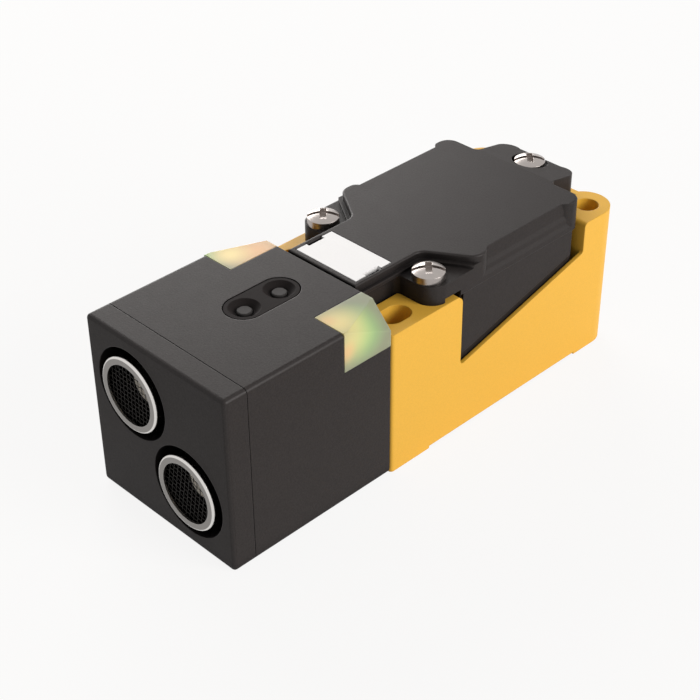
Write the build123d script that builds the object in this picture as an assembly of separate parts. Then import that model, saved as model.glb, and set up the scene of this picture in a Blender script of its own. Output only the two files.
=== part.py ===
from build123d import *
from math import sqrt
import os

os.makedirs("parts", exist_ok=True)

# Millimetres. The sensing face looks along -Y, the cable entry along +Y, Z is up.
# Depths are measured from the sensing face towards the cable entry.

# Transducers: their moats set the width of the head
can_diameter = 16.2
can_proud = 0.8
can_depth = 9.6
can_wall = 0.8
can_lip = 0.6
lip_width = 1.6
can_rim = 0.5
moat_gap = 1.75
moat_depth = 12.0
eye_web = 1.65
eye_margin = 2.6
mesh_thick = 0.3
cone_mouth = 3.6
cone_root = 1.2
cone_length = 3.0
cone_wall = 0.5
piezo_radius = 5.0
piezo_thick = 0.5
piezo_post = 1.8
piezo_post_length = 0.4
base_thick = 2.1
base_sink = 0.1
pin_diameter = 0.9
pin_spacing = 5.0
pin_tail = 0.8
pin_room = 2.5
ring_grip = 1.6
ring_hole = 6.0

# Sensor head
head_extra_height = 0.3
head_length = 42.0
head_lift = 0.35
head_wall = 1.6
head_rear_wall = 2.6
head_edge = 1.0
face_edge = 0.8
cap_depth = 5.4
cap_plug = 8.2
plug_chamfer = 0.6
seam_chamfer = 0.15

# Corner light guides
guide_width = 8.0
guide_drop = 8.75
guide_length = 12.5
guide_start_gap = 0.5
guide_facet_side = 5.0
guide_facet_drop = 5.2
guide_wall = 1.5
guide_edge = 0.4
guide_sink = 0.1
peg_root = 0.5
peg_length = 3.2
peg_width = 4.5
peg_height = 4.0
peg_low = 2.15
peg_start = 4.0

# Push buttons
insert_width = 8.4
insert_pitch = 9.0
insert_shift = 0.8
insert_depth = 2.5
insert_sink = 0.05
insert_chamfer = 0.2
insert_gap = 0.07
insert_bed = 1.4
bed_depth = 2.2
dimple_top = 6.5
dimple_bottom = 3.9
dimple_depth = 1.1
button_diameter = 3.1
button_sink = 0.6
button_travel = 0.4
button_gap = 0.2
button_collar = 4.6
collar_thick = 0.7
collar_room = 0.4
button_stem = 2.0
stem_length = 2.3
switch_width = 4.5
switch_body = 1.7
switch_dome = 2.2
switch_dome_height = 0.7

# Boards and lamps in the head
board_thick = 1.6
deck_thick = 1.2
deck_half = 10.0
board_behind = 5.4
board_slot_wall = 1.1
board_slot_depth = 1.2
board_slot_drop = 3.0
ledge_reach = 2.4
ledge_thick = 1.2
deck_ahead = 1.4
header_width = 10.0
header_left = 3.5
header_thick = 2.4
header_height = 3.4
lamp_width = 3.0
lamp_thick = 1.4
lamp_height = 4.0

# Plug between head and housing
plug_width = 11.2
plug_height = 8.5
plug_lift = 0.35
plug_flange = 1.6
plug_flange_thick = 1.5
plug_flange_rise = 1.0
plug_reach = 2.4
socket_length = 9.5
wire_diameter = 1.0
wire_pitch = 2.0
head_screw_size = 3.0
head_screw_head = 5.5
head_screw_top = 2.0
head_screw_length = 8.6
head_screw_chamfer = 0.5
head_screw_slot = 0.8
head_screw_slot_depth = 1.0
head_screw_span = 6.8
head_screw_low = 8.6
head_screw_high = 10.6
head_insert_size = 4.2
head_insert_wall = 1.1
head_insert_length = 5.6
head_insert_sink = 0.4
gasket_thick = 0.4
gasket_inset = 0.4
gasket_low = 1.4
gasket_drop = 2.0

# Mounting frame
frame_height = 33.85
frame_wall = 0.9
frame_floor = 3.0
frame_edge = 0.8
pad_height = 0.55
front_pad = 11.4
rear_pad = 12.4
tower_length = 20.3
slot_inset = 5.9
tower_rib = 2.25
tower_round = 1.8
post_length = 12.2
post_rib = 1.75
post_round = 5.5
post_edge = 1.0
rear_wall = 1.5
rear_wall_inset = 2.2
notch_drop = 17.25
notch_rise = 10.0
bolt_inset = 5.0
bolt_spacing_y = 60.0
bolt_diameter = 5.3
slot_length = 7.3

# Terminal housing
neck_gap = 0.5
tail_gap = 0.7
tail_length = 9.4
housing_wall = 3.2
housing_floor = 2.3
housing_round = 2.5
housing_inset = 0.55
panel_inset = 0.65
panel_gap = 1.95
panel_front_gap = 0.8
panel_tip = 1.2
joint_drop = 0.25
entry_outer = 22.0
entry_bore = 18.5

# Terminal cover
cover_height = 6.9
cover_thick = 2.0
cover_edge = 0.4
cover_front_gap = 0.7
side_taper = 1.35
boss_round = 4.05
boss_ahead = 3.5
boss_fillet = 1.5
boss_relief = 1.0
relief_width = 1.7
relief_behind = 0.3
pocket_depth = 2.3
pocket_ledge = 0.9
ledge_depth = 1.6
pocket_round = 3.0
pocket_lean = 32.7
ridge_shares = (0.75, 0.605, 0.444, 0.313, 0.16)
lobe_round = 3.05
lobe_gap = 0.65
front_lobe_behind = 11.2
tail_lobe_behind = 9.6
tail_lip = 2.7
tail_fillet = 1.6
tail_side = 0.4
slope_behind = 3.5
slope_drop = 1.55
label_width = 16.8
label_length = 9.8
label_thick = 1.0
label_behind = 1.25
label_notch_length = 4.3
label_notch_depth = 0.8
scoop_reach = 0.5
scoop_depth = 0.4

# Cover screws
screw_size = 4.0
screw_head = 6.8
screw_side = 1.6
screw_dome = 0.95
screw_length = 9.5
screw_slot = 1.0
screw_slot_depth = 1.5
screw_cross = 1.35
screw_cross_length = 4.2
screw_turn = 45
screw_inset = 4.9
rear_screw_ahead = 7.35
counterbore_gap = 0.6
insert_size = 5.6
insert_length = 8.0
rear_insert_length = 5.3
insert_bore_depth = 11.0

# Terminals
block_depth = 9.5
block_height = 10.0
block_behind = 7.1
block_side_wall = 0.15
pole_pitch = 5.1
pole_width = 3.6
pole_floor = 1.4
pole_opening = 4.2
pole_well = 1.8
pole_mouth = 2.3
clamp_wall = 0.5
clamp_depth = 4.5
clamp_floor = 0.7
clamp_screw = 2.0
clamp_head = 3.3
clamp_head_height = 2.0
clamp_screw_low = 2.3
clamp_screw_reach = 2.3
clamp_top_wall = 1.3
clamp_slot = 0.6
clamp_slot_depth = 0.6
terminal_board_thick = 1.6
board_stand = 3.7
stand_radius = 2.0
stand_front = 3.0
stand_rear = 9.0
board_side_gap = 1.1
board_neck_gap = 0.5
board_rear_gap = 6.0

# Cover seal
seal_inside = 0.8
seal_width = 1.4
seal_height = 1.2

# Clearances, and the overlap of bodies that are joined
fit_gap = 0.15
seat_gap = 0.3
pin_gap = 0.05
collar_gap = 0.1
lap = 0.1

sides = (-1, 1)
poles = [pole_pitch * count for count in (-2, -1, 0, 1, 2)]

# Head
moat_diameter = can_diameter + 2 * moat_gap
eye_offset = round((moat_diameter + eye_web) / sqrt(8), 2)
head_half = eye_offset + moat_diameter / 2 + eye_margin
head_top = head_lift + 2 * head_half + head_extra_height
head_mid = (head_lift + head_top) / 2
eyes = [(-eye_offset, head_mid + eye_offset), (eye_offset, head_mid - eye_offset)]
inner_half = head_half - head_wall
inner_low = head_lift + head_wall
inner_high = head_top - head_wall
inner_back = head_length - head_rear_wall
guide_start = head_length - guide_length
insert_middle = (cap_depth + cap_plug + head_length) / 2 - insert_shift
buttons = [insert_middle - insert_pitch / 2, insert_middle + insert_pitch / 2]
insert_low = head_top - insert_depth
stem_low = insert_low - collar_gap - collar_thick - stem_length
switch_top = stem_low - button_travel - collar_gap
deck_top = switch_top - switch_body - switch_dome_height
deck_low = deck_top - deck_thick
board_front = cap_depth + cap_plug + board_behind
board_back = board_front + board_thick
board_high = deck_low - seat_gap

# Frame
frame_start = head_length + seat_gap
bolt_x = head_half - bolt_inset
slot_depth = frame_start + slot_inset
hole_depth = slot_depth + bolt_spacing_y
body_length = hole_depth + post_round
tower_inner = bolt_x - bolt_diameter / 2 - tower_rib
tower_end = frame_start + tower_length
post_inner = bolt_x - bolt_diameter / 2 - post_rib
post_start = body_length - post_length
rear_wall_end = body_length - rear_wall_inset
rear_wall_start = rear_wall_end - rear_wall
notch_bottom = frame_height - notch_drop
notch_top = notch_bottom + notch_rise

# Housing
neck_half = tower_inner - neck_gap
neck_start = head_length + gasket_thick
neck_inner = neck_half - housing_wall
housing_half = head_half - frame_wall - seat_gap
panel_half = head_half - panel_inset
wide_start = tower_end + seat_gap
lobe_depth = post_start - lobe_round - lobe_gap
wide_end = lobe_depth + lobe_round - housing_inset
tail_half = post_inner - tail_gap
tail_end = wide_end + tail_length
joint_height = frame_height - joint_drop
entry_height = round(frame_height / 2)
chamber_low = frame_floor + housing_floor
chamber_half = housing_half - housing_wall
chamber_start = wide_start + housing_wall
chamber_end = wide_end - housing_wall

# Cover
cover_top = joint_height + cover_height
tongue_start = head_length + cover_front_gap
screw_depth = tower_end - screw_inset
rear_screw_depth = body_length - rear_screw_ahead
boss_front = screw_depth - boss_ahead
pocket_floor = cover_top - pocket_depth
front_lobe_depth = screw_depth + front_lobe_behind
tail_lobe_depth = lobe_depth + tail_lobe_behind
cover_end = tail_lobe_depth + tail_lip
cover_side = panel_half - side_taper
tail_width = tail_half + tail_side
slope_start = lobe_depth + slope_behind
label_start = tongue_start + label_behind
cover_bolts = [(-bolt_x, screw_depth), (bolt_x, screw_depth), (0, rear_screw_depth)]

# Terminals
terminal_low = chamber_low + board_stand
terminal_top = terminal_low + terminal_board_thick
block_start = wide_start + block_behind
block_half = poles[-1] + pole_pitch / 2 + block_side_wall
plug_low = entry_height - plug_height / 2 + plug_lift
plug_high = plug_low + plug_height
plug_end = neck_start + housing_wall + plug_reach

face_y = -(body_length - can_proud) / 2


def at(depth):
    return face_y + depth


def block(x0, x1, depth0, depth1, z0, z1):
    size = Box(abs(x1 - x0), depth1 - depth0, z1 - z0)
    return Pos((x0 + x1) / 2, at((depth0 + depth1) / 2), (z0 + z1) / 2) * size


def rod(x, z, depth0, depth1, radius):
    turned = Rot(90, 0, 0) * Cylinder(radius, depth1 - depth0)
    return Pos(x, at((depth0 + depth1) / 2), z) * turned


def post(x, depth, z0, z1, radius):
    return Pos(x, at(depth), (z0 + z1) / 2) * Cylinder(radius, z1 - z0)


def strip(half, depth0, depth1):
    return Pos(0, at((depth0 + depth1) / 2)) * Rectangle(2 * half, depth1 - depth0)


def spot(x, depth, radius):
    return Pos(x, at(depth)) * Circle(radius)


def raised(outline, z0, z1):
    return Pos(0, 0, z0) * extrude(outline, z1 - z0)


def side_face(points):
    return make_face(Polyline([(at(depth), z) for depth, z in points], close=True))


def across(points, half):
    return extrude(Plane.YZ * side_face(points), half, both=True)


def pill(half_width):
    bar = strip(half_width, *buttons)
    for depth in buttons:
        bar += spot(0, depth, half_width)
    return bar


def round_corners(outline, x, depth, radius):
    near = [v for v in outline.vertices() if abs(abs(v.X) - x) < 0.01 and abs(v.Y - at(depth)) < 0.01]
    return fillet(near, radius)


def head_bolts():
    x = head_screw_span / 2
    heights = (entry_height - head_screw_low, entry_height + head_screw_high)
    return [(side * x, z) for side in sides for z in heights]


def plug_hole(depth0, depth1):
    half = plug_width / 2 + seat_gap
    return block(-half, half, depth0, depth1, plug_low - seat_gap, plug_high + seat_gap)


# Sensor head


def guide_pocket(side, gap):
    inner = head_half - guide_width - gap
    low = head_top - guide_drop
    return block(side * inner, side * (head_half + 1), guide_start - gap, head_length + 1, low, head_top + 1)


def guide_peg(side, gap):
    outer = head_half - guide_width + peg_root
    start = guide_start + peg_start - gap
    low = head_top - guide_drop + peg_low - gap
    end = start + peg_width + 2 * gap
    high = low + peg_height + 2 * gap
    return block(side * (outer - peg_length), side * outer, start, end, low, high)


def head_hollow():
    hollow = block(-inner_half, inner_half, cap_depth - 1, inner_back, inner_low, inner_high)
    inside = head_half - guide_width - guide_wall
    start = guide_start - guide_wall
    low = head_top - guide_drop - guide_wall
    for side in sides:
        hollow -= block(side * inside, side * head_half, start, head_length, low, head_top)
    return hollow


def head_body():
    body = block(-head_half, head_half, cap_depth, head_length, head_lift, head_top)
    body = fillet(body.edges().filter_by(Axis.Y), head_edge)
    body = chamfer(body.faces().sort_by(Axis.Y)[-1].edges(), seam_chamfer)
    body -= head_hollow()
    body += raised(pill(insert_width / 2 + insert_bed), inner_high - bed_depth, inner_high + lap)
    ledge = deck_low - ledge_thick
    body += block(-deck_half, deck_half, inner_back - ledge_reach, inner_back + lap, ledge, deck_low)
    for side in sides:
        for depth in (board_front - seat_gap - board_slot_wall, board_back + seat_gap):
            edge = side * (inner_half - board_slot_depth)
            wall = side * (inner_half + lap)
            high = board_high - board_slot_drop
            body += block(edge, wall, depth, depth + board_slot_wall, inner_low - lap, high)
    boss = head_insert_size / 2 + head_insert_wall
    for x, z in head_bolts():
        body += rod(x, z, head_length - head_insert_length - 1, inner_back + lap, boss)
    body -= raised(pill(insert_width / 2 + insert_gap), insert_low, head_top + 1)
    for depth in buttons:
        body -= post(0, depth, inner_high - bed_depth - 1, head_top, button_collar / 2 + collar_room)
    for side in sides:
        body -= guide_pocket(side, fit_gap)
        body -= guide_peg(side, fit_gap)
    body -= plug_hole(inner_back - 1, head_length + 1)
    start = head_length - head_insert_length - head_insert_sink
    for x, z in head_bolts():
        body -= rod(x, z, start, head_length + 1, head_insert_size / 2)
    return body


def front_cap():
    plate = block(-head_half, head_half, 0, cap_depth, head_lift, head_top)
    plate = fillet(plate.edges().filter_by(Axis.Y), head_edge)
    plate = fillet(plate.faces().sort_by(Axis.Y)[0].edges(), face_edge)
    plate = chamfer(plate.faces().sort_by(Axis.Y)[-1].edges(), seam_chamfer)
    inside = inner_half - fit_gap
    low = inner_low + fit_gap
    high = inner_high - fit_gap
    plug = block(-inside, inside, cap_depth - lap, cap_depth + cap_plug, low, high)
    plug = chamfer(plug.edges().filter_by(Axis.Y), plug_chamfer)
    cap = plate + plug
    for x, z in eyes:
        cap -= rod(x, z, -1, moat_depth, moat_diameter / 2)
        cap -= rod(x, z, moat_depth - 1, cap_depth + cap_plug + 1, pin_spacing / 2 + pin_room)
    return cap


def light_guide(side):
    inner = head_half - guide_width
    low = head_top - guide_drop
    back = head_length - guide_sink
    guide = block(side * inner, side * head_half, guide_start, back, low, head_top)
    outer = [e for e in guide.edges().filter_by(Axis.Y) if abs(e.center().X) > head_half - 0.1]
    guide = fillet(ShapeList(outer).sort_by(Axis.Z)[-1:], guide_edge)
    start = Vector(side * head_half, at(guide_start + guide_start_gap), head_top)
    along_top = Vector(side * (head_half - guide_facet_side), at(back), head_top)
    along_side = Vector(side * head_half, at(back), head_top - guide_facet_drop)
    outward = (along_top - start).cross(along_side - start) * -side
    cut = Plane(origin=start, x_dir=along_top - start, z_dir=outward)
    guide = split(guide, bisect_by=cut, keep=Keep.BOTTOM)
    return guide + guide_peg(side, 0)


def button_insert():
    high = head_top - insert_sink
    body = raised(pill(insert_width / 2), insert_low, high)
    body = chamfer(body.faces().sort_by(Axis.Z)[-1].edges(), insert_chamfer)
    for depth in buttons:
        cone = Cone(dimple_bottom / 2, dimple_top / 2, dimple_depth)
        body -= Pos(0, at(depth), high - dimple_depth / 2) * cone
        body -= post(0, depth, insert_low - 1, head_top, button_diameter / 2 + button_gap)
    return body


def button(depth):
    top = head_top - button_sink
    collar_top = insert_low - collar_gap
    collar_low = collar_top - collar_thick
    knob = post(0, depth, collar_low, top, button_diameter / 2)
    knob = chamfer(knob.edges().sort_by(Axis.Z)[-1], insert_chamfer)
    collar = post(0, depth, collar_low, collar_top, button_collar / 2)
    stem = post(0, depth, stem_low, collar_low + lap, button_stem / 2)
    return knob + collar + stem


def switches():
    parts = []
    half = switch_width / 2
    for depth in buttons:
        body = block(-half, half, depth - half, depth + half, deck_top, deck_top + switch_body)
        parts.append(body + post(0, depth, deck_top + switch_body - lap, switch_top, switch_dome / 2))
    return Compound(parts)


def status_lamps():
    parts = []
    outer = head_half - guide_width + peg_root - peg_length - seat_gap
    middle = guide_start + peg_start + peg_width / 2
    for side in sides:
        near = side * (outer - lamp_thick)
        ends = (middle - lamp_width / 2, middle + lamp_width / 2)
        parts.append(block(near, side * outer, *ends, deck_top, deck_top + lamp_height))
    return Compound(parts)


def button_board():
    return block(-deck_half, deck_half, board_front - deck_ahead, inner_back - seat_gap, deck_low, deck_top)


def main_board():
    half = inner_half - seat_gap
    board = block(-half, half, board_front, board_back, inner_low + seat_gap, board_high)
    for x, z in pin_places():
        board -= rod(x, z, board_front - 1, board_back + 1, pin_diameter / 2 + pin_gap)
    return board


def board_header():
    right = header_width - header_left
    end = board_back + header_thick
    return block(-header_left, right, board_back, end, deck_low - header_height, deck_low)


# Transducers


def pin_places():
    return [(x + side * pin_spacing / 2, z) for x, z in eyes for side in sides]


def can(eye):
    x, z = eye
    radius = can_diameter / 2
    shell = rod(x, z, -can_proud, can_depth, radius)
    shell = fillet(shell.edges().sort_by(Axis.Y)[0], can_rim)
    shell -= rod(x, z, can_lip - can_proud, can_depth + 1, radius - can_wall)
    return shell - rod(x, z, -can_proud - 1, can_lip, radius - lip_width)


def mesh_disc(eye):
    x, z = eye
    start = can_lip - can_proud
    return rod(x, z, start, start + mesh_thick, can_diameter / 2 - can_wall - pin_gap)


def base_front():
    return can_depth - base_sink - base_thick


def piezo_back():
    return base_front() - piezo_post_length


def resonator(eye):
    x, z = eye
    outer = Cone(cone_root, cone_mouth, cone_length)
    inner = Pos(0, 0, cone_wall) * Cone(cone_root, cone_mouth, cone_length)
    middle = piezo_back() - piezo_thick - cone_length / 2
    return Pos(x, at(middle), z) * Rot(90, 0, 0) * (outer - inner)


def piezo(eye):
    x, z = eye
    return rod(x, z, piezo_back() - piezo_thick, piezo_back(), piezo_radius)


def can_base(eye):
    x, z = eye
    front = base_front()
    disc = rod(x, z, front, can_depth - base_sink, can_diameter / 2 - can_wall - pin_gap)
    disc += rod(x, z, piezo_back(), front + lap, piezo_post)
    for side in sides:
        place = x + side * pin_spacing / 2
        disc -= rod(place, z, front - 1, can_depth + 1, pin_diameter / 2 + pin_gap)
    return disc


def can_pins():
    end = board_back + pin_tail
    start = piezo_back() + pin_gap
    return Compound([rod(x, z, start, end, pin_diameter / 2) for x, z in pin_places()])


def seat_ring(eye):
    x, z = eye
    ring = rod(x, z, can_depth - ring_grip, moat_depth, moat_diameter / 2 - fit_gap)
    ring -= rod(x, z, can_depth - ring_grip - 1, can_depth, can_diameter / 2 + pin_gap)
    return ring - rod(x, z, can_depth - 1, moat_depth + 1, ring_hole)


# Head to housing


def coupling_plug():
    half = plug_width / 2
    start = inner_back - plug_flange_thick
    plug = block(-half, half, start, plug_end, plug_low, plug_high)
    rim = half + plug_flange
    plug += block(-rim, rim, start, inner_back, plug_low - plug_flange_rise, plug_high + plug_flange_rise)
    return plug


def coupling_wires():
    end = inner_back - plug_flange_thick
    places = [wire_pitch * count for count in (-2, -1, 0, 1, 2)]
    return Compound([rod(x, entry_height, board_back, end, wire_diameter / 2) for x in places])


def coupling_socket():
    half = plug_width / 2
    return block(-half, half, plug_end, plug_end + socket_length, terminal_top, plug_high)


def head_gasket():
    half = neck_half - gasket_inset
    low = frame_floor + gasket_low
    sheet = block(-half, half, head_length, neck_start, low, joint_height - gasket_drop)
    sheet -= plug_hole(head_length - 1, neck_start + 1)
    for x, z in head_bolts():
        sheet -= rod(x, z, head_length - 1, neck_start + 1, head_screw_size / 2 + seat_gap)
    return sheet


def head_screws():
    parts = []
    start = neck_start + housing_wall
    end = start + head_screw_top
    half = head_screw_slot / 2
    reach = head_screw_head / 2 + 1
    for x, z in head_bolts():
        shank = rod(x, z, start - head_screw_length, start + lap, head_screw_size / 2)
        top = rod(x, z, start, end, head_screw_head / 2)
        top = chamfer(top.edges().sort_by(Axis.Y)[-1], head_screw_chamfer)
        top -= block(x - half, x + half, end - head_screw_slot_depth, end + 1, z - reach, z + reach)
        parts.append(shank + top)
    return Compound(parts)


def head_inserts():
    parts = []
    end = head_length - head_insert_sink
    start = end - head_insert_length
    for x, z in head_bolts():
        nut = rod(x, z, start, end, head_insert_size / 2)
        parts.append(nut - rod(x, z, start - 1, head_length + 1, head_screw_size / 2 + pin_gap))
    return Compound(parts)


# Mounting frame


def frame_profile():
    end = body_length + 1
    face = side_face(
        [
            (frame_start, 0),
            (frame_start + front_pad, 0),
            (frame_start + front_pad, pad_height),
            (body_length - rear_pad, pad_height),
            (body_length - rear_pad, 0),
            (end, 0),
            (end, frame_height),
            (post_start, frame_height),
            (post_start, notch_top),
            (tower_end, notch_bottom),
            (tower_end, frame_height),
            (frame_start, frame_height),
        ]
    )
    for depth, z, radius in (
        (tower_end, frame_height, tower_round),
        (tower_end, notch_bottom, frame_edge),
        (post_start, notch_top, post_edge),
        (post_start, frame_height, post_edge),
    ):
        near = [v for v in face.vertices() if abs(v.X - at(depth)) < 0.01 and abs(v.Y - z) < 0.01]
        face = fillet(near, radius)
    return face


def frame_plan():
    plan = strip(head_half, frame_start, hole_depth)
    for side in sides:
        plan += spot(side * (head_half - post_round), hole_depth, post_round)
    return plan + strip(tower_inner + 1, hole_depth - 2, rear_wall_end)


def frame_inside():
    plan = strip(tower_inner, frame_start - 1, tower_end + 1)
    plan += strip(head_half - frame_wall, tower_end, post_start)
    return plan + strip(post_inner, post_start - 1, rear_wall_start)


def mounting_frame():
    body = extrude(Plane.YZ * frame_profile(), head_half, both=True)
    body &= raised(frame_plan(), -1, frame_height + 1)
    front = [e for e in body.edges().filter_by(Axis.Z) if abs(e.center().Y - at(frame_start)) < 0.01]
    body = fillet(front, frame_edge)
    body -= raised(frame_inside(), frame_floor, frame_height + 1)
    body -= rod(0, entry_height, post_start - 1, body_length + 1, entry_outer / 2 + seat_gap)
    slot = Rot(0, 0, 90) * SlotOverall(slot_length, bolt_diameter)
    for side in sides:
        x = side * bolt_x
        body -= raised(Pos(x, at(slot_depth)) * slot, -1, frame_height + 1)
        body -= post(x, hole_depth, -1, frame_height + 1, bolt_diameter / 2)
        body -= post(x, screw_depth, frame_height - insert_bore_depth, frame_height + 1, insert_size / 2)
    return body


# Terminal housing


def chamber_outline(grow):
    plan = strip(neck_inner + grow, neck_start + housing_wall - grow, chamber_start + 1)
    return plan + strip(chamber_half + grow, chamber_start - grow, chamber_end + grow)


def housing_panel():
    rise = notch_rise / (post_start - tower_end)
    front = tower_end + panel_front_gap
    low = notch_bottom + panel_gap
    tip = low + rise * (panel_front_gap + panel_tip)
    points = [
        (front, tip),
        (front + panel_tip, tip),
        (lobe_depth, low + rise * (lobe_depth - tower_end)),
        (lobe_depth, joint_height),
        (front, joint_height),
    ]
    return across(points, panel_half)


def terminal_housing():
    plan = strip(neck_half, neck_start, wide_start + 1)
    plan += strip(housing_half, wide_start, wide_end)
    plan = round_corners(plan, housing_half, wide_end, housing_round)
    plan += strip(tail_half, wide_end - 3, tail_end)
    plan = round_corners(plan, tail_half, tail_end, housing_round)
    body = raised(plan, frame_floor, joint_height)
    body += housing_panel()
    body += rod(0, entry_height, wide_end - 1, body_length, entry_outer / 2)
    body -= raised(chamber_outline(0), chamber_low, joint_height + 1)
    groove = chamber_outline(seal_inside + seal_width) - chamber_outline(seal_inside)
    body -= raised(groove, joint_height - seal_height, joint_height + 1)
    body -= rod(0, entry_height, chamber_end - 1, body_length + 1, entry_bore / 2)
    body -= plug_hole(neck_start - 1, neck_start + housing_wall + 1)
    for x, z in head_bolts():
        body -= rod(x, z, neck_start - 1, neck_start + housing_wall + 1, head_screw_size / 2 + seat_gap)
    low = joint_height - rear_insert_length - seat_gap
    body -= post(0, rear_screw_depth, low, joint_height + 1, insert_size / 2)
    for side in sides:
        for depth in (chamber_start + stand_front, chamber_end - stand_rear):
            x = side * (chamber_half - 2 * stand_radius)
            body += post(x, depth, chamber_low - lap, terminal_low, stand_radius)
    return body


def cover_seal():
    outer = chamber_outline(seal_inside + seal_width - pin_gap)
    return raised(outer - chamber_outline(seal_inside + pin_gap), joint_height - seal_height, joint_height)


def terminal_board():
    plan = strip(neck_inner - board_neck_gap, plug_end, chamber_start + 2)
    plan += strip(chamber_half - board_side_gap, chamber_start + 1, chamber_end - board_rear_gap)
    return raised(plan, terminal_low, terminal_top)


def terminal_block():
    end = block_start + block_depth
    low = terminal_top + pole_floor
    body = block(-block_half, block_half, block_start, end, terminal_top, terminal_top + block_height)
    for x in poles:
        body -= post(x, block_start + block_depth / 2, low, terminal_top + block_height + 1, pole_well)
        edge = pole_width / 2
        body -= block(x - edge, x + edge, block_start + pole_mouth, end + 1, low, low + pole_opening)
    return body


def terminal_clamps():
    parts = []
    low = terminal_top + pole_floor
    high = low + pole_opening - seat_gap
    start = block_start + pole_mouth + fit_gap
    end = start + clamp_depth
    for x in poles:
        edge = pole_width / 2 - fit_gap
        inner = edge - clamp_wall
        clamp = block(x - edge, x + edge, start, end, low, high)
        clamp -= block(x - inner, x + inner, start - 1, end + 1, low + clamp_floor, high - clamp_top_wall)
        clamp -= post(x, block_start + block_depth / 2, low + 1, high + 1, clamp_screw / 2 + pin_gap)
        parts.append(clamp)
    return Compound(parts)


def terminal_screws():
    parts = []
    low = terminal_top + pole_floor + clamp_screw_low
    head_low = low + clamp_screw_reach
    high = head_low + clamp_head_height
    depth = block_start + block_depth / 2
    half = clamp_slot / 2
    for x in poles:
        screw = post(x, depth, low, head_low + lap, clamp_screw / 2)
        screw += post(x, depth, head_low, high, clamp_head / 2)
        floor = high - clamp_slot_depth
        screw -= block(x - clamp_head, x + clamp_head, depth - half, depth + half, floor, high + 1)
        parts.append(screw)
    return Compound(parts)


# Terminal cover


def skirt_outline():
    boss_x = panel_half - boss_round
    plan = strip(neck_half, tongue_start, screw_depth + 4)
    plan += strip(boss_x, boss_front, boss_front + boss_round + 1)
    plan += strip(panel_half, boss_front + boss_round, lobe_depth)
    plan = round_corners(plan, neck_half, boss_front, boss_fillet)
    for side in sides:
        plan += spot(side * boss_x, boss_front + boss_round, boss_round)
    return plan + tail_outline()


def tail_outline():
    wide = lobe_depth + lobe_round
    plan = strip(panel_half - lobe_round, lobe_depth - 2, wide)
    plan += strip(tail_width, wide - 3, tail_lobe_depth)
    plan = round_corners(plan, tail_width, wide, tail_fillet)
    plan += strip(tail_width - lobe_round, tail_lobe_depth - 1, cover_end)
    for side in sides:
        plan += spot(side * (panel_half - lobe_round), lobe_depth, lobe_round)
        plan += spot(side * (tail_width - lobe_round), tail_lobe_depth, lobe_round)
    return plan


def crown_outline(grow):
    lobe = panel_half - lobe_round
    tongue = neck_half + grow
    lean = Vector(0, -1).rotate(Axis.Z, pocket_lean)
    touch = Vector(lobe, at(front_lobe_depth)) + lean * (lobe_round + grow)
    start = touch.Y + (touch.X - tongue) * lean.X / lean.Y
    right = [
        (tongue, at(tongue_start)),
        (tongue, start),
        (touch.X, touch.Y),
        (lobe, at(front_lobe_depth)),
    ]
    left = [(-x, y) for x, y in reversed(right)]
    plan = make_face(Polyline(right + left, close=True))
    near = [v for v in plan.vertices() if abs(v.Y - start) < 0.01]
    plan = fillet(near, pocket_round - grow)
    plan += strip(panel_half, front_lobe_depth, lobe_depth)
    for side in sides:
        plan += spot(side * lobe, front_lobe_depth, lobe_round + grow)
    plan += tail_outline()
    return plan & strip(panel_half, tongue_start, cover_end + 1)


def ridge_cut(side):
    out = panel_half + 1
    step = side_taper / 3
    first = cover_side + step
    second = cover_side + 2 * step
    heights = [joint_height + cover_height * share for share in ridge_shares]
    points = [
        (cover_side, cover_top),
        (first, heights[0]),
        (first, heights[1]),
        (second, heights[2]),
        (second, heights[3]),
        (panel_half, heights[4]),
        (out, heights[4]),
        (out, cover_top + 1),
        (cover_side, cover_top + 1),
    ]
    face = Plane.XZ * make_face(Polyline([(side * x, z) for x, z in points], close=True))
    cut = Pos(0, at(front_lobe_depth), 0) * extrude(face, front_lobe_depth - lobe_depth)
    x = side * (panel_half - lobe_round)
    for depth in (front_lobe_depth, lobe_depth):
        cut -= post(x, depth, joint_height - 1, cover_top + 2, lobe_round)
    return cut


def cover_hollow():
    low = joint_height - 1
    hollow = raised(chamber_outline(0), low, pocket_floor - cover_thick)
    high = cover_top - cover_thick
    return hollow + raised(strip(chamber_half, front_lobe_depth + lobe_round, chamber_end), low, high)


def terminal_cover():
    body = raised(skirt_outline(), joint_height, pocket_floor)
    crown = raised(crown_outline(0), pocket_floor - lap, cover_top)
    body += fillet(crown.faces().sort_by(Axis.Z)[-1].edges(), cover_edge)
    body += raised(crown_outline(pocket_ledge), pocket_floor - lap, cover_top - ledge_depth)
    for side in sides:
        body -= ridge_cut(side)
    end = cover_end + 2
    fall = slope_drop * (end - slope_start) / (cover_end - slope_start)
    high = cover_top + 2
    wedge = [(slope_start, cover_top), (end, cover_top - fall), (end, high), (slope_start, high)]
    body -= across(wedge, panel_half + 1)
    body -= cover_hollow()
    low = joint_height - 1
    for side in sides:
        out = side * (panel_half + 1)
        edge = side * (tower_inner - seat_gap)
        body -= block(edge, out, boss_front - 1, tower_end, low, frame_height)
        edge = side * (panel_half - relief_width)
        start = screw_depth + relief_behind
        body -= block(edge, out, start, tower_end, low, frame_height + boss_relief)
    out = tail_width + 1
    body -= block(-out, out, rear_wall_start - seat_gap, end, low, frame_height + seat_gap)
    half = label_width / 2 + fit_gap
    deep = cover_top - label_thick
    start = label_start - fit_gap
    body -= block(-half, half, start, label_start + label_length + fit_gap, deep, cover_top + 1)
    for side in sides:
        body -= label_scoop(side)
    for x, depth in cover_bolts:
        body -= post(x, depth, low, cover_top, screw_size / 2 + seat_gap)
    body -= post(0, rear_screw_depth, pocket_floor, cover_top + 1, screw_head / 2 + counterbore_gap)
    return body


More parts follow.
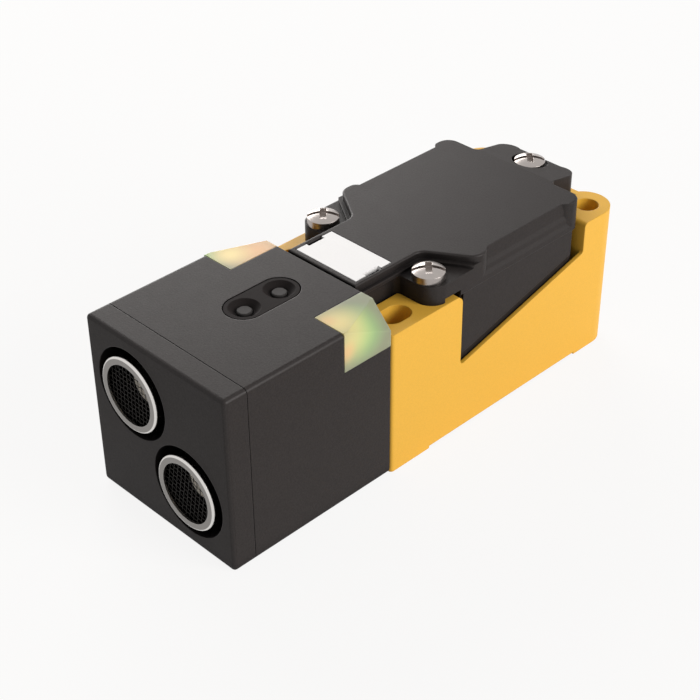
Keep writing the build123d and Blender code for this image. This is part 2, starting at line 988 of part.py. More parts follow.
def label_scoop(side):
    inner = side * (label_width / 2 - label_notch_depth)
    outer = side * (label_width / 2 + scoop_reach)
    low = cover_top - label_thick - scoop_depth
    ramp = make_face(Polyline([(inner, low), (outer, cover_top), (inner, cover_top)], close=True))
    middle = label_start + label_length / 2
    return Pos(0, at(middle), 0) * extrude(Plane.XZ * ramp, label_notch_length / 2, both=True)


def label_plate():
    half = label_width / 2
    low = cover_top - label_thick
    plate = block(-half, half, label_start, label_start + label_length, low, cover_top)
    start = label_start + (label_length - label_notch_length) / 2
    end = start + label_notch_length
    inner = half - label_notch_depth
    for side in sides:
        plate -= block(side * inner, side * (half + 1), start, end, low - 1, cover_top + 1)
    return plate


def cover_screw():
    radius = screw_head / 2
    bulge = (radius**2 + screw_dome**2) / (2 * screw_dome)
    top = screw_side + screw_dome
    head = Pos(0, 0, top / 2) * Cylinder(radius, top)
    head &= Pos(0, 0, top - bulge) * Sphere(bulge)
    cross = Rectangle(screw_cross, screw_cross_length) + Rectangle(screw_head + 1, screw_slot)
    head -= Rot(0, 0, screw_turn) * raised(cross, top - screw_slot_depth, top + 1)
    shank = Pos(0, 0, (lap - screw_length) / 2) * Cylinder(screw_size / 2, screw_length + lap)
    return head + shank


def cover_screws():
    screw = cover_screw()
    return Compound([Pos(x, at(depth), pocket_floor) * screw for x, depth in cover_bolts])


def cover_inserts():
    parts = []
    for x, depth in cover_bolts:
        top = frame_height - seat_gap if x else joint_height
        low = top - (insert_length if x else rear_insert_length)
        nut = post(x, depth, low, top, insert_size / 2)
        parts.append(nut - post(x, depth, low - 1, top + 1, screw_size / 2 + pin_gap))
    return Compound(parts)


pieces = {
    "head_body": head_body(),
    "front_cap": front_cap(),
    "light_guide_left": light_guide(-1),
    "light_guide_right": light_guide(1),
    "button_insert": button_insert(),
    "button_front": button(buttons[0]),
    "button_rear": button(buttons[1]),
    "button_switches": switches(),
    "status_lamps": status_lamps(),
    "button_board": button_board(),
    "main_board": main_board(),
    "board_header": board_header(),
    "transducer_pins": can_pins(),
    "coupling_plug": coupling_plug(),
    "coupling_wires": coupling_wires(),
    "coupling_socket": coupling_socket(),
    "head_gasket": head_gasket(),
    "head_screws": head_screws(),
    "head_inserts": head_inserts(),
    "mounting_frame": mounting_frame(),
    "terminal_housing": terminal_housing(),
    "cover_seal": cover_seal(),
    "terminal_board": terminal_board(),
    "terminal_block": terminal_block(),
    "terminal_clamps": terminal_clamps(),
    "terminal_screws": terminal_screws(),
    "terminal_cover": terminal_cover(),
    "label_plate": label_plate(),
    "cover_screws": cover_screws(),
    "cover_inserts": cover_inserts(),
}
for name, eye in zip(("upper", "lower"), eyes):
    pieces["transducer_can_" + name] = can(eye)
    pieces["transducer_mesh_" + name] = mesh_disc(eye)
    pieces["resonator_cone_" + name] = resonator(eye)
    pieces["piezo_disc_" + name] = piezo(eye)
    pieces["transducer_base_" + name] = can_base(eye)
    pieces["seat_ring_" + name] = seat_ring(eye)

for name, shape in pieces.items():
    export_step(shape, "parts/" + name + ".step")
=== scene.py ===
import bmesh
import bpy
from math import cos, pi, radians, sin, sqrt
from mathutils import Matrix, Vector


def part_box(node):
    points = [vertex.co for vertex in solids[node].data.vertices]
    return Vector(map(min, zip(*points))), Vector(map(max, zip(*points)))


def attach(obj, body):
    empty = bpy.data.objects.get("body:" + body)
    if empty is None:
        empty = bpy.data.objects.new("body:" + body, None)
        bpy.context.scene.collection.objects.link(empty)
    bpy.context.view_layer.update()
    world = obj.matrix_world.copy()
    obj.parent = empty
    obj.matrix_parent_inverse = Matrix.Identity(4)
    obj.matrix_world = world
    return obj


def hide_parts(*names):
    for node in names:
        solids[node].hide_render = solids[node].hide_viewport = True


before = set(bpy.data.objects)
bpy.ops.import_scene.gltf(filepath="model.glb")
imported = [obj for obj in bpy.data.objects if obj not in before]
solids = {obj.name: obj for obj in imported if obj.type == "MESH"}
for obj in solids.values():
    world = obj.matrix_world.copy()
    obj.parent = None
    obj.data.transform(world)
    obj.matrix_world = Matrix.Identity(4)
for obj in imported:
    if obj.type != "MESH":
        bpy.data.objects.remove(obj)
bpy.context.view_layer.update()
mm = 0.001
perMetre = 1000  # millimetres in a metre
print("solids loaded:", len(solids))


# Shader nodes

def put(tree, kind, **settings):
    node = tree.nodes.new("ShaderNode" + kind)
    for name, value in settings.items():
        setattr(node, name, value)
    return node


def join(tree, value, socket):
    if isinstance(value, bpy.types.NodeSocket):
        tree.links.new(value, socket)
    else:
        socket.default_value = value


def calc(tree, operation, *values):
    node = put(tree, "Math", operation=operation)
    for value, socket in zip(values, node.inputs):
        join(tree, value, socket)
    return node.outputs[0]


def vectorCalc(tree, operation, *values):
    node = put(tree, "VectorMath", operation=operation)
    for value, socket in zip(values, node.inputs):
        join(tree, value, socket)
    scalar = operation in ("DOT_PRODUCT", "LENGTH", "DISTANCE")
    return node.outputs["Value" if scalar else "Vector"]


def around(value, change):
    return value - change, value + change


def spread(tree, value, low, high, newLow, newHigh, smooth=True):
    node = put(tree, "MapRange", interpolation_type="SMOOTHSTEP" if smooth else "LINEAR")
    for item, socket in zip((value, low, high, newLow, newHigh), node.inputs):
        join(tree, item, socket)
    return node.outputs[0]


def blendColour(tree, share, first, second, mode="MIX"):
    node = put(tree, "Mix", data_type="RGBA", blend_type=mode)
    join(tree, share, node.inputs[0])
    join(tree, first, node.inputs[6])
    join(tree, second, node.inputs[7])
    return node.outputs[2]


def noise(tree, place, scale, detail=2.0, roughness=0.5):
    node = put(tree, "TexNoise")
    join(tree, place, node.inputs["Vector"])
    join(tree, scale, node.inputs["Scale"])
    join(tree, detail, node.inputs["Detail"])
    join(tree, roughness, node.inputs["Roughness"])
    return node.outputs["Fac"]


def newGroup(name, inputs, outputs):
    group = bpy.data.node_groups.new(name, "ShaderNodeTree")
    for label, kind, value in inputs:
        kind = "NodeSocket" + kind
        socket = group.interface.new_socket(name=label, in_out="INPUT", socket_type=kind)
        socket.default_value = value
    for label, kind in outputs:
        kind = "NodeSocket" + kind
        group.interface.new_socket(name=label, in_out="OUTPUT", socket_type=kind)
    given = group.nodes.new("NodeGroupInput")
    made = group.nodes.new("NodeGroupOutput")
    return group, given.outputs, made.inputs


def useGroup(tree, group, **values):
    node = put(tree, "Group", node_tree=group)
    for label, value in values.items():
        join(tree, value, node.inputs[label])
    return node.outputs


def placeInMm(tree):
    place = put(tree, "TexCoord").outputs["Object"]
    return vectorCalc(tree, "MULTIPLY", place, (perMetre, perMetre, perMetre))


# Effects that several finishes share

edgeLook = {
    "samples": 6,
    "reach": 4 * mm,  # how far away another surface still darkens a hollow with painted shade
    "edge": (0.995, 0.86),  # cosine of the rounding, where wear (on metal, polish and painted highlight) starts and is full
    "round": (0.995, 0.90),  # largest part of the normal, on flat faces and on round ones
    "open": (0.25, 0.95),  # share of free sight, in a shut hollow (full painted shade) and out in the open (none)
}


def makeSoftEdgesAndShade():
    inputs = [("Radius", "Float", 0.0003), ("Alone", "Float", 0)]
    outputs = [("Normal", "Vector"), ("Edge", "Float"), ("Round", "Float"), ("Open", "Float")]
    group, given, made = newGroup("softEdgesAndShade", inputs, outputs)
    bevel = put(group, "Bevel", samples=edgeLook["samples"])
    join(group, given["Radius"], bevel.inputs["Radius"])
    flat = put(group, "NewGeometry").outputs["Normal"]
    facing = vectorCalc(group, "DOT_PRODUCT", bevel.outputs[0], flat)
    join(group, bevel.outputs[0], made["Normal"])
    join(group, spread(group, facing, *edgeLook["edge"], 0, 1), made["Edge"])
    parts = put(group, "SeparateXYZ")
    join(group, vectorCalc(group, "ABSOLUTE", bevel.outputs[0]), parts.inputs[0])
    square = calc(group, "MAXIMUM", parts.outputs["X"], parts.outputs["Y"])
    square = calc(group, "MAXIMUM", square, parts.outputs["Z"])
    join(group, spread(group, square, *edgeLook["round"], 0, 1), made["Round"])
    # Painted shade mask: ambient occlusion measures how open each point is
    free = []
    for alone in (False, True):
        hollow = put(group, "AmbientOcclusion", samples=edgeLook["samples"], only_local=alone)
        hollow.inputs["Distance"].default_value = edgeLook["reach"]
        free.append(hollow.outputs["AO"])
    change = calc(group, "SUBTRACT", free[1], free[0])
    kept = calc(group, "MULTIPLY_ADD", change, given["Alone"], free[0])
    join(group, spread(group, kept, *edgeLook["open"], 0, 1), made["Open"])
    return group


grainLook = {
    "pebbleDepth": -0.7,
    "crumbs": 0.8,  # how fine, against the pebbles
    "specks": 1.1,
    "speckShare": 0.9,  # of the tone, and the broad mottle is the rest
    "glossPatches": 3,  # how fine, against the mottle
}


def makeMouldGrain():
    inputs = [("Size", "Float", 0.35), ("Mottle", "Float", 9.0)]
    outputs = [("Height", "Float"), ("Tone", "Float"), ("Gloss", "Float")]
    group, given, made = newGroup("mouldGrain", inputs, outputs)
    place = placeInMm(group)
    fine = calc(group, "DIVIDE", 1, given["Size"])
    pebbles = put(group, "TexVoronoi", feature="SMOOTH_F1")
    join(group, place, pebbles.inputs["Vector"])
    join(group, fine, pebbles.inputs["Scale"])
    scale = calc(group, "MULTIPLY", fine, grainLook["crumbs"])
    crumbs = noise(group, place, scale, detail=3, roughness=0.6)
    deep = pebbles.outputs["Distance"]
    height = calc(group, "MULTIPLY_ADD", deep, grainLook["pebbleDepth"], crumbs)
    join(group, height, made["Height"])
    scale = calc(group, "DIVIDE", 1, given["Mottle"])
    broad = noise(group, place, scale, detail=3, roughness=0.6)
    scale = calc(group, "MULTIPLY", fine, grainLook["specks"])
    speck = noise(group, place, scale, detail=1, roughness=0.6)
    broad = calc(group, "MULTIPLY", broad, 1 - grainLook["speckShare"])
    join(group, calc(group, "MULTIPLY_ADD", speck, grainLook["speckShare"], broad), made["Tone"])
    scale = calc(group, "DIVIDE", grainLook["glossPatches"], given["Mottle"])
    join(group, noise(group, place, scale, detail=4, roughness=0.65), made["Gloss"])
    return group


turnedLook = {
    "round": 0.4,  # change for each radian round the axis
    "streaks": 0.25,  # how fine, against the lines
    "range": (0.3, 0.7),  # of the streak noise that is used
}


def makeTurnedLines():
    inputs = [("Centre", "Vector", (0, 0, 0)), ("Pitch", "Float", 0.12)]
    group, given, made = newGroup("turnedLines", inputs, [("Height", "Float"), ("Streak", "Float")])
    place = placeInMm(group)
    away = vectorCalc(group, "SUBTRACT", place, given["Centre"])
    parts = put(group, "SeparateXYZ")
    join(group, away, parts.inputs[0])
    radius = vectorCalc(group, "LENGTH", vectorCalc(group, "MULTIPLY", away, (1, 0, 1)))
    rings = put(group, "CombineXYZ")
    join(group, calc(group, "DIVIDE", radius, given["Pitch"]), rings.inputs[0])
    join(group, calc(group, "DIVIDE", parts.outputs["Y"], given["Pitch"]), rings.inputs[1])
    turn = calc(group, "ARCTAN2", parts.outputs["Z"], parts.outputs["X"])
    join(group, calc(group, "MULTIPLY", turn, turnedLook["round"]), rings.inputs[2])
    join(group, noise(group, rings.outputs[0], 1.0), made["Height"])
    join(group, noise(group, rings.outputs[0], turnedLook["streaks"]), made["Streak"])
    return group


def makeGlowSpot():
    inputs = [("Place", "Vector", (0, 0, 0)), ("Reach", "Float", 4.0)]
    group, given, made = newGroup("glowSpot", inputs, [("Mask", "Float")])
    away = vectorCalc(group, "DISTANCE", placeInMm(group), given["Place"])
    join(group, spread(group, away, given["Reach"], 0, 0, 1), made["Mask"])
    return group


softEdgesAndShade = makeSoftEdgesAndShade()
mouldGrain = makeMouldGrain()
turnedLines = makeTurnedLines()
glowSpot = makeGlowSpot()


def newFinish(name):
    material = bpy.data.materials.new(name)
    material.use_nodes = True
    tree = material.node_tree
    tree.nodes.clear()
    surface = put(tree, "BsdfPrincipled")
    tree.links.new(surface.outputs[0], put(tree, "OutputMaterial").inputs["Surface"])
    return material, tree, surface.inputs


def scaled(colour, share):
    return (colour[0] * share, colour[1] * share, colour[2] * share, 1)


def roughen(tree, surface, height, depth, normal=None):
    bump = put(tree, "Bump")
    join(tree, height, bump.inputs["Height"])
    bump.inputs["Distance"].default_value = depth * mm
    if normal:
        join(tree, normal, bump.inputs["Normal"])
    join(tree, bump.outputs[0], surface["Normal"])


mouldLook = {
    "tone": (0.35, 0.65),  # of each noise, the range that is used
    "gloss": (0.3, 0.7),
    "glossSpread": 0.015,
    "rubBright": 1.6,  # colour of a rubbed edge, against the face
    "rubPolish": 0.12,
    "coatRough": 0.30,
}


def moulded(name, look):
    material, tree, surface = newFinish(name)
    grain = useGroup(tree, mouldGrain, Size=look["grain"], Mottle=look["mottle"])
    edges = useGroup(tree, softEdgesAndShade, Radius=look["edge"] * mm, Alone=look.get("alone", 0))
    shades = around(1, look["uneven"])
    tone = spread(tree, grain["Tone"], *mouldLook["tone"], *shades, smooth=False)
    colour = scaled(look["colour"], 1)
    # Painted shade: hollows and creases go over to the darker deep colour
    if "deep" in look:
        colour = blendColour(tree, edges["Open"], scaled(look["deep"], 1), colour)
    colour = blendColour(tree, 1, colour, tone, "MULTIPLY")
    rubbed = calc(tree, "MULTIPLY", edges["Edge"], look["rub"])
    worn = scaled(look["colour"], mouldLook["rubBright"])
    join(tree, blendColour(tree, rubbed, colour, worn), surface["Base Color"])
    rough = around(look["rough"], mouldLook["glossSpread"])
    gloss = spread(tree, grain["Gloss"], *mouldLook["gloss"], *rough, smooth=False)
    polish = calc(tree, "MULTIPLY", rubbed, mouldLook["rubPolish"])
    join(tree, calc(tree, "SUBTRACT", gloss, polish), surface["Roughness"])
    surface["Specular IOR Level"].default_value = look["shine"]
    if "coat" in look:
        join(tree, calc(tree, "MULTIPLY", edges["Round"], look["coat"]), surface["Coat Weight"])
        surface["Coat Roughness"].default_value = mouldLook["coatRough"]
    roughen(tree, surface, grain["Height"], look["depth"], edges["Normal"])
    return material


# deep: the painted shade colour that hollows and creases take
plastics = {
    "housingBlack": dict(
        colour=(0.030, 0.0258, 0.0248), deep=(0.006, 0.0052, 0.0050), rough=0.48,
        shine=0.08, grain=0.34, depth=0.016, mottle=11, uneven=0.13, edge=0.28, rub=0.10, coat=0.18,
    ),
    "insertBlack": dict(
        colour=(0.0215, 0.0182, 0.0176), deep=(0.005, 0.0045, 0.0045), rough=0.60,
        shine=0.03, grain=0.22, depth=0.006, mottle=6, uneven=0.08, edge=0.15, rub=0.06,
    ),
    "frameYellow": dict(
        colour=(0.800, 0.448, 0.056), deep=(0.66, 0.47, 0.022), alone=1, rough=0.50,
        shine=0.22, grain=0.30, depth=0.008, mottle=14, uneven=0.03, edge=0.30, rub=0.05,
    ),
    "buttonRubber": dict(
        colour=(0.040, 0.0370, 0.0360), rough=0.62,
        shine=0.15, grain=0.16, depth=0.008, mottle=2, uneven=0.10, edge=0.20, rub=0.05,
    ),
    "sealRubber": dict(
        colour=(0.012, 0.0120, 0.0120), rough=0.70,
        shine=0.30, grain=0.25, depth=0.010, mottle=4, uneven=0.12, edge=0.10, rub=0.04,
    ),
    "labelWhite": dict(
        colour=(0.96, 0.955, 0.95), rough=0.60,
        shine=0.35, grain=0.50, depth=0.003, mottle=8, uneven=0.01, edge=0.12, rub=0.0,
    ),
    "boardGreen": dict(
        colour=(0.012, 0.085, 0.030), rough=0.34,
        shine=0.50, grain=0.80, depth=0.006, mottle=5, uneven=0.15, edge=0.05, rub=0.2,
    ),
    "plugBlack": dict(
        colour=(0.018, 0.0180, 0.0190), rough=0.44,
        shine=0.45, grain=0.25, depth=0.006, mottle=5, uneven=0.08, edge=0.12, rub=0.08,
    ),
    "terminalGrey": dict(
        colour=(0.135, 0.150, 0.155), rough=0.48,
        shine=0.45, grain=0.22, depth=0.006, mottle=5, uneven=0.06, edge=0.15, rub=0.08,
    ),
    "wireJacket": dict(
        colour=(0.30, 0.018, 0.014), rough=0.36,
        shine=0.50, grain=0.30, depth=0.004, mottle=4, uneven=0.08, edge=0.05, rub=0.0,
    ),
    "piezoCeramic": dict(
        colour=(0.05, 0.047, 0.045), rough=0.55,
        shine=0.45, grain=0.12, depth=0.006, mottle=3, uneven=0.08, edge=0.05, rub=0.1,
    ),
    "lampResin": dict(
        colour=(0.75, 0.74, 0.68), rough=0.20,
        shine=0.50, grain=0.60, depth=0.002, mottle=2, uneven=0.04, edge=0.15, rub=0.0,
    ),
}


def turnedMetal(name, look, centre=(0, 0, 0), dark=None):
    material, tree, surface = newFinish(name)
    lines = useGroup(tree, turnedLines, Centre=centre, Pitch=look["pitch"])
    edges = useGroup(tree, softEdgesAndShade, Radius=look["edge"] * mm)
    polishAndHighlightColour = scaled(look["polishAndHighlightColour"], 1)
    shades = around(1, look["uneven"])
    streak = spread(tree, lines["Streak"], *turnedLook["range"], *shades, smooth=False)
    # Edges take a brighter colour: partly polish, partly a painted highlight
    polishAndHighlightShare = calc(tree, "MULTIPLY", edges["Edge"], look["polish"])
    colour = blendColour(tree, 1, scaled(look["colour"], 1), streak, "MULTIPLY")
    colour = blendColour(tree, polishAndHighlightShare, colour, polishAndHighlightColour)
    # On the cans the rounding and side wall get the painted highlight colour, striped by painted
    # ridges
    if dark:
        radius, depth = fromAxis(tree, centre)
        rim = spread(tree, radius, dark["rimStart"], dark["rimEnd"], 0, 1)
        start = dark["sideStart"] - dark["half"]
        side = spread(tree, depth, start, start + dark["sideFade"], 0, 1)
        ridge = calc(tree, "SINE", calc(tree, "MULTIPLY", depth, 2 * pi / dark["ridgePitch"]))
        ridge = spread(tree, ridge, *around(0, dark["ridgeSoft"]), *dark["ridgeShare"])
        shade = blendColour(tree, side, polishAndHighlightColour, blendColour(tree, ridge, colour, polishAndHighlightColour))
        polishAndHighlightShare = calc(tree, "MAXIMUM", polishAndHighlightShare, calc(tree, "MULTIPLY", rim, look["polish"]))
        colour = blendColour(tree, rim, colour, shade)
        # Painted shade: inside the can the inner wall is painted near-black
        colour = blendColour(tree, insideCan(tree, centre, dark), colour, scaled(dark["colour"], 1))
    join(tree, colour, surface["Base Color"])
    rough = around(look["rough"], look["spread"])
    rough = spread(tree, lines["Streak"], *turnedLook["range"], *rough, smooth=False)
    join(tree, calc(tree, "SUBTRACT", rough, polishAndHighlightShare), surface["Roughness"])
    surface["Metallic"].default_value = look.get("metal", 1.0)
    roughen(tree, surface, lines["Height"], look["depth"], edges["Normal"])
    return material


metals = {
    "can": dict(
        colour=(0.23, 0.218, 0.206), polishAndHighlightColour=(0.68, 0.66, 0.635), rough=0.34,
        spread=0.05, pitch=0.10, depth=0.004, uneven=0.07, edge=0.20, polish=0.18,
    ),
    "screw": dict(
        colour=(0.40, 0.365, 0.345), polishAndHighlightColour=(0.55, 0.52, 0.50), rough=0.30,
        spread=0.02, pitch=0.30, depth=0.0002, uneven=0.02, edge=0.12, polish=0.02,
    ),
    "brass": dict(
        colour=(0.72, 0.50, 0.20), polishAndHighlightColour=(0.85, 0.65, 0.35), rough=0.28,
        spread=0.05, pitch=0.15, depth=0.003, uneven=0.08, edge=0.12, polish=0.08,
    ),
    "tinned": dict(
        colour=(0.60, 0.59, 0.57), polishAndHighlightColour=(0.8, 0.79, 0.77), rough=0.26,
        spread=0.05, pitch=0.15, depth=0.002, uneven=0.06, edge=0.12, polish=0.08,
    ),
    "cone": dict(
        colour=(0.86, 0.80, 0.70), polishAndHighlightColour=(0.9, 0.85, 0.75), metal=0.0, rough=0.42,
        spread=0.05, pitch=0.10, depth=0.003, uneven=0.06, edge=0.10, polish=0.05,
    ),
    "gauze": dict(
        colour=(0.030, 0.028, 0.026), polishAndHighlightColour=(0.04, 0.038, 0.036), rough=0.45,
        spread=0.06, pitch=0.08, depth=0.001, uneven=0.12, edge=0.02, polish=0.0,
    ),
}


# Cans: inner wall painted near-black as painted shade, polished rounding outside the flat ring
# painted brighter as a painted highlight, fine ridges down the side painted as stripes of that
# highlight.
# Millimetres from the can's axis, or behind its front
canParts = {
    "radius": 7.45,
    "behind": 0.55,
    "colour": (0.004, 0.004, 0.004),  # of the inner wall, painted near-black as painted shade
    "rimStart": 7.62,
    "rimEnd": 7.74,
    "sideStart": 0.50,
    "sideFade": 0.1,
    "ridgePitch": 0.42,
    "ridgeSoft": 0.5,
    "ridgeShare": (0.05, 0.75),  # of the painted highlight colour, in a groove and on a ridge
}


def fromAxis(tree, centre):
    away = vectorCalc(tree, "SUBTRACT", placeInMm(tree), centre)
    parts = put(tree, "SeparateXYZ")
    join(tree, away, parts.inputs[0])
    radius = vectorCalc(tree, "LENGTH", vectorCalc(tree, "MULTIPLY", away, (1, 0, 1)))
    return radius, parts.outputs["Y"]


def insideCan(tree, centre, dark):
    radius, depth = fromAxis(tree, centre)
    near = calc(tree, "LESS_THAN", radius, dark["radius"])
    below = calc(tree, "GREATER_THAN", depth, dark["behind"] - dark["half"])
    return calc(tree, "MULTIPLY", near, below)


# Corner light guides: frosted, with green, yellow and amber light from inside painted into the base
# colour as glow spots and given off as a faint emission

guide = {
    "frost": (0.30, 0.32, 0.215),
    "amber": (0.86, 0.50, 0.25),
    "yellow": (0.92, 0.74, 0.33),
    "green": (0.36, 0.60, 0.24),
    "rough": 0.22,
    "edge": 0.15,
    "light": 0.10,
    "strength": 0.35,
    "shine": 0.12,
    "milk": 0.3,
    "cloud": 0.25,
    "cloudRange": (0.3, 0.7),
    "spread": 0.02,
    "depth": 0.002,
    "right": [  # colour, place and reach in mm, share
        ("green", (18.0, -21.6, 37.4), 7.4, 1.0),
        ("yellow", (16.4, -25.2, 38.4), 8.0, 1.0),
        ("amber", (19.2, -26.4, 36.2), 3.4, 0.7),
        ("amber", (14.6, -26.2, 40.0), 2.8, 0.5),
    ],
    "left": [
        ("green", (-19.6, -27.4, 39.5), 6.5, 0.7),
        ("amber", (-14.0, -18.6, 40.0), 10.0, 0.9),
        ("yellow", (-16.4, -23.2, 40.0), 6.0, 1.0),
    ],
}


def guideFinish(side):
    material, tree, surface = newFinish("frostedGuide" + ("Left" if side < 0 else "Right"))
    edges = useGroup(tree, softEdgesAndShade, Radius=guide["edge"] * mm)
    base = scaled(guide["frost"], 1)
    light = (0, 0, 0, 1)
    for name, place, reach, share in guide["left" if side < 0 else "right"]:
        spot = useGroup(tree, glowSpot, Place=place, Reach=reach)["Mask"]
        mask = calc(tree, "MULTIPLY", spot, share)
        # Painted light: each glow spot tints the base colour with its LED colour
        base = blendColour(tree, mask, base, scaled(guide[name], 1))
        light = blendColour(tree, mask, light, scaled(guide[name], guide["light"]))
    join(tree, base, surface["Base Color"])
    join(tree, light, surface["Emission Color"])
    surface["Emission Strength"].default_value = guide["strength"]
    cloud = noise(tree, placeInMm(tree), guide["cloud"])
    rough = around(guide["rough"], guide["spread"])
    join(tree, spread(tree, cloud, *guide["cloudRange"], *rough), surface["Roughness"])
    surface["Specular IOR Level"].default_value = guide["shine"]
    surface["Subsurface Weight"].default_value = guide["milk"]
    surface["Subsurface Radius"].default_value = (1, 1, 1)
    surface["Subsurface Scale"].default_value = mm
    roughen(tree, surface, cloud, guide["depth"], edges["Normal"])
    return material


# Which solid gets which finish

finishes = {name: moulded(name, look) for name, look in plastics.items()}
finishes["brass"] = turnedMetal("turnedBrass", metals["brass"])
finishes["tinned"] = turnedMetal("tinnedSteel", metals["tinned"])
finishes["screw"] = turnedMetal("polishedScrew", metals["screw"])
wearing = {
    "housingBlack": ["head_body", "front_cap", "terminal_housing", "terminal_cover"],
    "insertBlack": ["button_insert"],
    "frameYellow": ["mounting_frame"],
    "buttonRubber": ["button_front", "button_rear"],
    "sealRubber": ["head_gasket", "cover_seal", "seat_ring_upper", "seat_ring_lower"],
    "labelWhite": ["label_plate"],
    "boardGreen": ["button_board", "main_board", "terminal_board"],
    "plugBlack": [
        "coupling_plug", "coupling_socket", "board_header",
        "button_switches", "transducer_base_upper", "transducer_base_lower",
    ],
    "terminalGrey": ["terminal_block"],
    "wireJacket": ["coupling_wires"],
    "piezoCeramic": ["piezo_disc_upper", "piezo_disc_lower"],
    "lampResin": ["status_lamps"],
    "brass": ["head_inserts", "cover_inserts", "terminal_clamps"],
    "tinned": ["head_screws", "terminal_screws", "transducer_pins"],
    "screw": ["cover_screws"],
}


def dress(node, material):
    for slot in solids[node].material_slots:
        slot.material = material


def middle(node):
    low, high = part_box(node)
    return (Vector(low) + Vector(high)) / 2


for finish, names in wearing.items():
    for node in names:
        dress(node, finishes[finish])
dress("light_guide_left", guideFinish(-1))
dress("light_guide_right", guideFinish(1))
for eye in ("upper", "lower"):
    centre = tuple(middle("transducer_can_" + eye) * perMetre)
    low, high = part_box("transducer_can_" + eye)
    dark = dict(canParts, half=(high[1] - low[1]) / 2 * perMetre)
    dress("transducer_can_" + eye, turnedMetal("can" + eye.title(), metals["can"], centre, dark))
    dress("resonator_cone_" + eye, turnedMetal("cone" + eye.title(), metals["cone"], centre))
print("finishes made:", len(bpy.data.materials))


# Woven gauze of the two transducers

gauze = {  # in mm
    "pitch": 1.1,
    "width": 0.17,
    "thick": 0.12,
    "rise": 0.06,
    "step": 0.18,
    "sides": 8,
    "fewest": 6,  # steps in the shortest wire
    "turns": {"upper": 3.0, "lower": 11.0},  # degrees, as each gauze lies in its can
}


def newPiece(name, mesh, material):
    piece = bpy.data.objects.new(name, mesh)
    bpy.context.scene.collection.objects.link(piece)
    mesh.materials.append(material)
    for face in mesh.polygons:
        face.use_smooth = True
    return piece


def weaveWire(bm, across, reach, turned, flip):
    half = sqrt(reach * reach - across * across)
    count = max(gauze["fewest"], int(2 * half / gauze["step"]))
    sides = gauze["sides"]
    rings = []
    for index in range(count + 1):
        along = -half + 2 * half * index / count
        lift = gauze["rise"] * cos(pi * along / gauze["pitch"]) * flip
        ring = []
        for turn in range(sides):
            angle = 2 * pi * turn / sides
            wide = across + gauze["width"] / 2 * cos(angle)
            deep = lift + gauze["thick"] / 2 * sin(angle)
            point = Vector((along, deep, wide)) if turned else Vector((wide, deep, along))
            ring.append(bm.verts.new(point * mm))
        rings.append(ring)
    for first, second in zip(rings, rings[1:]):
        for turn in range(sides):
            after = (turn + 1) % sides
            bm.faces.new((first[turn], first[after], second[after], second[turn]))
    bm.faces.new(rings[0])
    bm.faces.new(rings[-1])


def weaveGauze(eye):
    node = "transducer_mesh_" + eye
    low, high = (Vector(corner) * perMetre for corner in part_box(node))
    reach = (high.x - low.x) / 2
    bm = bmesh.new()
    lines = int(reach / gauze["pitch"])
    for turned in (False, True):
        for line in range(-lines, lines + 1):
            flip = 1 if (line + turned) % 2 else -1
            weaveWire(bm, line * gauze["pitch"], reach, turned, flip)
    bmesh.ops.recalc_face_normals(bm, faces=bm.faces)
    spin = Matrix.Rotation(radians(gauze["turns"][eye]), 4, "Y")
    place = Matrix.Translation((low + high) / 2 * mm)
    bmesh.ops.transform(bm, matrix=place @ spin, verts=bm.verts)
    mesh = bpy.data.meshes.new(eye + "Gauze")
    bm.to_mesh(mesh)
    bm.free()
    piece = newPiece(eye + "_gauze", mesh, turnedMetal("gauze" + eye.title(), metals["gauze"]))
    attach(piece, "sensor")
    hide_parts(node)
    print("gauze woven:", eye, len(mesh.polygons))


for eye in gauze["turns"]:
    weaveGauze(eye)


# Floor, light and camera

studio = {
    "floor": (0.90, 0.895, 0.89),
    "floorWhite": 0.985,
    "floorShare": 0.90,
    "floorHalf": 3.0,
    "room": (1.0, 0.995, 0.99),
    "ambient": 0.285,
    "lampColour": (1.0, 0.975, 0.955),
    "aim": (0, 0, 0.02),
    "lamps": [  # name, place, size, watts
        ("keyLamp", (0.97, 0.30, 0.50), (0.58, 0.58), 9.8),
        ("topLamp", (-0.80, 0.37, 0.34), (0.75, 0.55), 8.9),
    ],
}


def seenRay(tree):
    ray = put(tree, "LightPath").outputs
    seen = calc(tree, "MAXIMUM", ray["Is Camera Ray"], ray["Is Glossy Ray"])
    return calc(tree, "MAXIMUM", seen, ray["Is Transmission Ray"])


def layFloor():
    mesh = bpy.data.meshes.new("floor")
    half = studio["floorHalf"]
    corners = [(-half, -half, 0), (half, -half, 0), (half, half, 0), (-half, half, 0)]
    mesh.from_pydata(corners, [], [(0, 1, 2, 3)])
    floor = bpy.data.objects.new("floor", mesh)
    bpy.context.scene.collection.objects.link(floor)
    material = bpy.data.materials.new("paleFloor")
    material.use_nodes = True
    tree = material.node_tree
    tree.nodes.clear()
    matt = put(tree, "BsdfDiffuse")
    matt.inputs["Color"].default_value = scaled(studio["floor"], 1)
    white = put(tree, "Emission")
    white.inputs["Color"].default_value = scaled(studio["room"], studio["floorWhite"])
    both = put(tree, "MixShader")
    join(tree, calc(tree, "MULTIPLY", seenRay(tree), studio["floorShare"]), both.inputs[0])
    join(tree, matt.outputs[0], both.inputs[1])
    join(tree, white.outputs[0], both.inputs[2])
    join(tree, both.outputs[0], put(tree, "OutputMaterial").inputs["Surface"])
    mesh.materials.append(material)


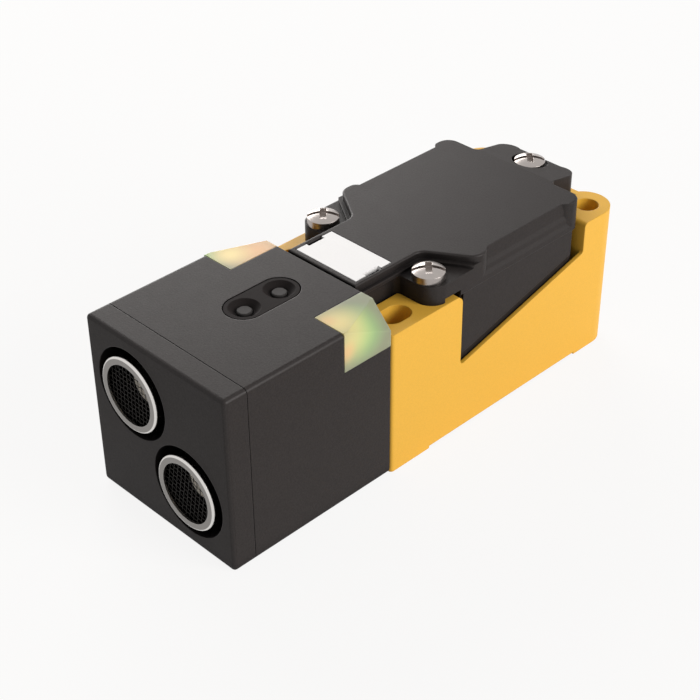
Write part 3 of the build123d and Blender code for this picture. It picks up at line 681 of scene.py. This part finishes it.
def lightRoom():
    world = bpy.data.worlds.new("room")
    bpy.context.scene.world = world
    world.use_nodes = True
    tree = world.node_tree
    tree.nodes.clear()
    soft = put(tree, "Background")
    soft.inputs["Color"].default_value = scaled(studio["room"], 1)
    soft.inputs["Strength"].default_value = studio["ambient"]
    seen = put(tree, "Background")
    seen.inputs["Color"].default_value = scaled(studio["room"], studio["floorWhite"])
    both = put(tree, "MixShader")
    join(tree, seenRay(tree), both.inputs[0])
    join(tree, soft.outputs[0], both.inputs[1])
    join(tree, seen.outputs[0], both.inputs[2])
    join(tree, both.outputs[0], put(tree, "OutputWorld").inputs["Surface"])
    for name, place, size, power in studio["lamps"]:
        light = bpy.data.lights.new(name, "AREA")
        light.shape = "RECTANGLE"
        light.size, light.size_y = size
        light.energy = power
        light.color = studio["lampColour"]
        lamp = bpy.data.objects.new(name, light)
        lamp.location = place
        lamp.rotation_mode = "QUATERNION"
        lamp.rotation_quaternion = (Vector(studio["aim"]) - Vector(place)).to_track_quat("-Z", "Y")
        bpy.context.scene.collection.objects.link(lamp)


photoView = {  # metres, degrees, and mm for lens and sensor
    "place": (0.193843, -0.195866, 0.208622),
    "azimuth": 45.588,
    "elevation": 35.275,
    "roll": -0.504,
    "lens": 82.01,
    "sensor": 36,
    "nearest": 0.01,
    "farthest": 20,
}


def aimCamera():
    angles = ("azimuth", "elevation", "roll")
    azimuth, elevation, roll = (radians(photoView[name]) for name in angles)
    level = cos(elevation)
    back = Vector((sin(azimuth) * level, -cos(azimuth) * level, sin(elevation)))
    right = Vector((0, 0, 1)).cross(back).normalized()
    upward = back.cross(right)
    turnedRight = right * cos(roll) + upward * sin(roll)
    turnedUp = upward * cos(roll) - right * sin(roll)
    camera = bpy.data.objects.new("camera", bpy.data.cameras.new("camera"))
    camera.data.lens = photoView["lens"]
    camera.data.sensor_width = photoView["sensor"]
    camera.data.clip_start = photoView["nearest"]
    camera.data.clip_end = photoView["farthest"]
    turn = Matrix((turnedRight, turnedUp, back)).transposed().to_4x4()
    camera.matrix_world = Matrix.Translation(photoView["place"]) @ turn
    bpy.context.scene.collection.objects.link(camera)
    bpy.context.scene.camera = camera


layFloor()
lightRoom()
aimCamera()
bpy.context.scene.view_settings.view_transform = "Standard"
print("studio ready")
